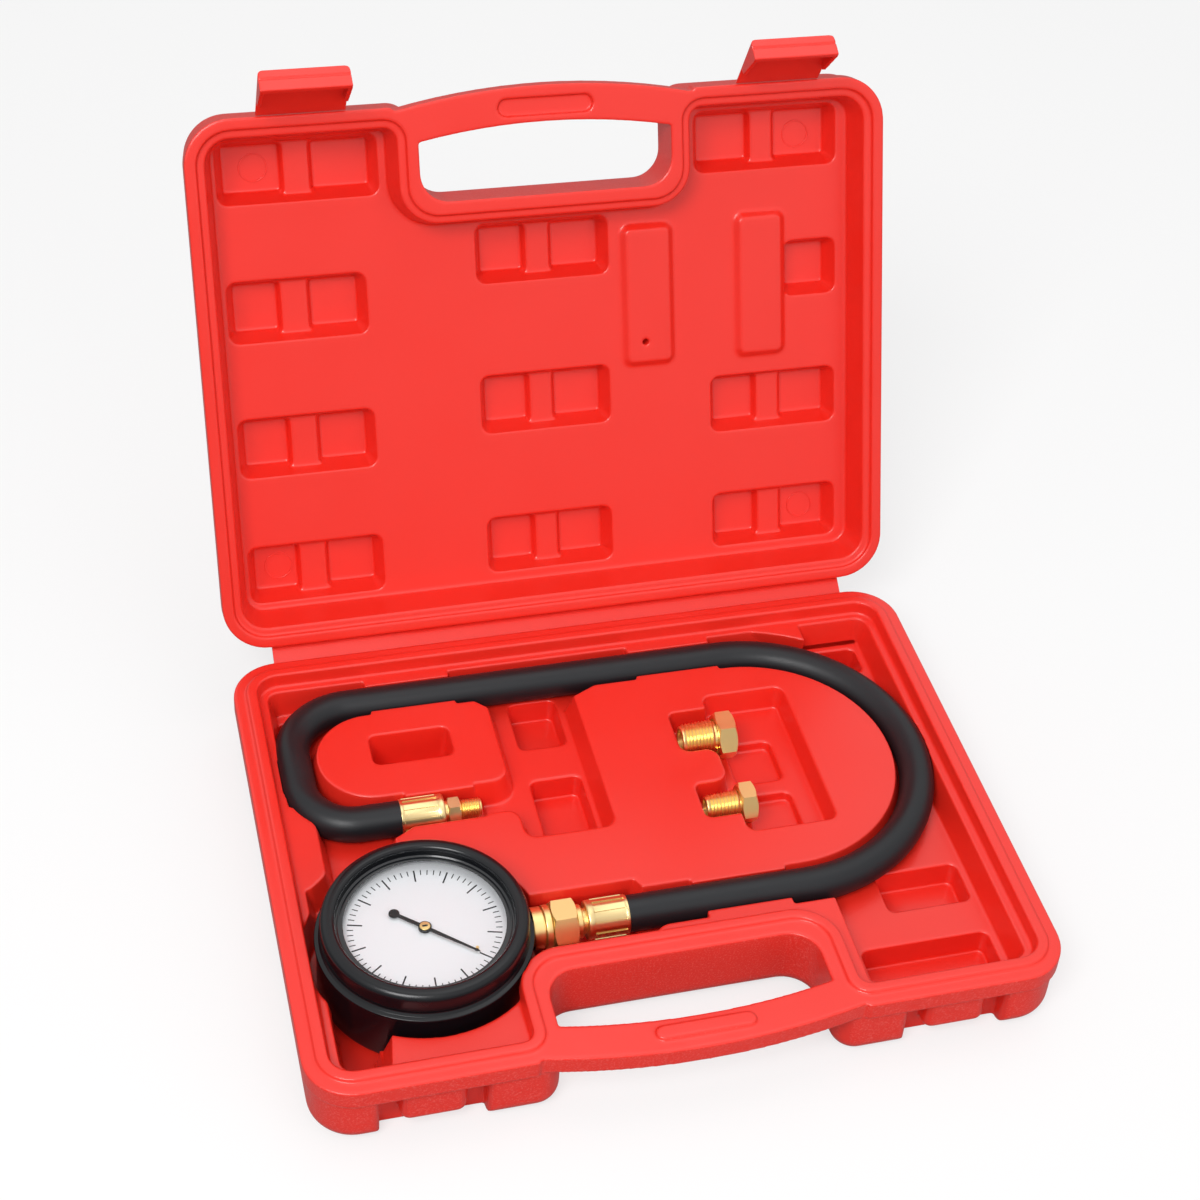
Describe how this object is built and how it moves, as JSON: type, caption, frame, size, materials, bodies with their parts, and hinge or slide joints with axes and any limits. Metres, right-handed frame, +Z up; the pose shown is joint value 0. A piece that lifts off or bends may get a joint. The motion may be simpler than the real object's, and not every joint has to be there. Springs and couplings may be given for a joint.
{
  "type": "engine oil pressure tester",
  "caption": "Engine oil pressure tester: round gauge in a rubber boot on a crimped hose, with brass adapters, in an open moulded case with snap latches.",
  "frame": {"origin": "middle of the flat underside of the lower case half", "axes": "+X right, +Y towards the hinge, +Z up, the case lying open on a table"},
  "size_m": [0.27, 0.3125, 0.249],
  "materials": {
    "case_plastic": "blow-moulded red plastic, faint grain",
    "boot_rubber": "smooth black rubber, slight sheen",
    "hose_rubber": "black hose rubber",
    "gauge_steel": "plated steel",
    "bezel_black": "gloss black",
    "lens_clear": "clear",
    "dial_white": "satin white with black ticks",
    "pointer_black": "satin black",
    "brass": "machined brass",
    "spring_bronze": "drawn bronze"
  },
  "bodies": {
    "base": {"case_base": "case_plastic", "gauge_boot": "boot_rubber", "gauge_can": "gauge_steel", "gauge_bezel": "bezel_black", "gauge_lens": "lens_clear", "lens_gasket": "boot_rubber", "gauge_dial": "dial_white", "stop_pin": "brass", "hairspring": "spring_bronze", "bourdon_tube": "spring_bronze", "tube_tip": "brass", "gauge_socket": "brass", "movement_back_plate": "brass", "movement_front_plate": "brass", "movement_pillars": "brass", "movement_screws": "gauge_steel", "seal_ring": "brass", "swivel_nut": "brass", "gauge_end_nipple": "brass", "gauge_end_ferrule": "brass", "pressure_hose": "hose_rubber", "far_end_ferrule": "brass", "far_end_nipple": "brass", "large_adapter": "brass", "small_adapter": "brass"},
    "strip": {"hinge_strip": "case_plastic"},
    "lid": {"case_lid": "case_plastic"},
    "left_latch": {"left_latch": "case_plastic"},
    "right_latch": {"right_latch": "case_plastic"},
    "pointer": {"pointer": "pointer_black", "pointer_hub": "brass", "pointer_arbor": "brass"},
    "sector": {"sector_gear": "brass"},
    "link": {"link": "brass"}
  },
  "joints": [
    {"name": "strip_fold", "type": "hinge", "parent": "base", "child": "strip", "pos_m": [0, 0.1042, 0.023], "axis": [1, 0, 0], "range_deg": [0, 55.5]},
    {"name": "lid_fold", "type": "hinge", "parent": "strip", "child": "lid", "pos_m": [0, 0.11269, 0.02883], "axis": [1, 0, 0], "range_deg": [0, 55.5]},
    {"name": "left_latch_turn", "type": "hinge", "parent": "lid", "child": "left_latch", "pos_m": [-0.0915, 0.18376, 0.22542], "axis": [-1, 0, 0], "range_deg": [-41.5, 84.5]},
    {"name": "right_latch_turn", "type": "hinge", "parent": "lid", "child": "right_latch", "pos_m": [0.0915, 0.18376, 0.22542], "axis": [-1, 0, 0], "range_deg": [-41.5, 84.5]},
    {"name": "pointer_turn", "type": "hinge", "parent": "base", "child": "pointer", "pos_m": [-0.0852, -0.041, 0.0306], "axis": [0, 0, 1], "range_deg": [-270, 0]},
    {"name": "sector_turn", "type": "hinge", "parent": "base", "child": "sector", "pos_m": [-0.07018, -0.04707, 0.021], "axis": [0, 0, 1], "range_deg": [0, 33.75]},
    {"name": "link_swing", "type": "hinge", "parent": "sector", "child": "link", "pos_m": [-0.06554, -0.04583, 0.0225], "axis": [0, 0, 1], "range_deg": [-33.75, 0]}
  ],
  "couplings": [
    {"joint": "strip_fold", "follows": "lid_fold", "ratio": 1},
    {"joint": "sector_turn", "follows": "pointer_turn", "ratio": -0.125},
    {"joint": "link_swing", "follows": "pointer_turn", "ratio": 0.125}
  ]
}
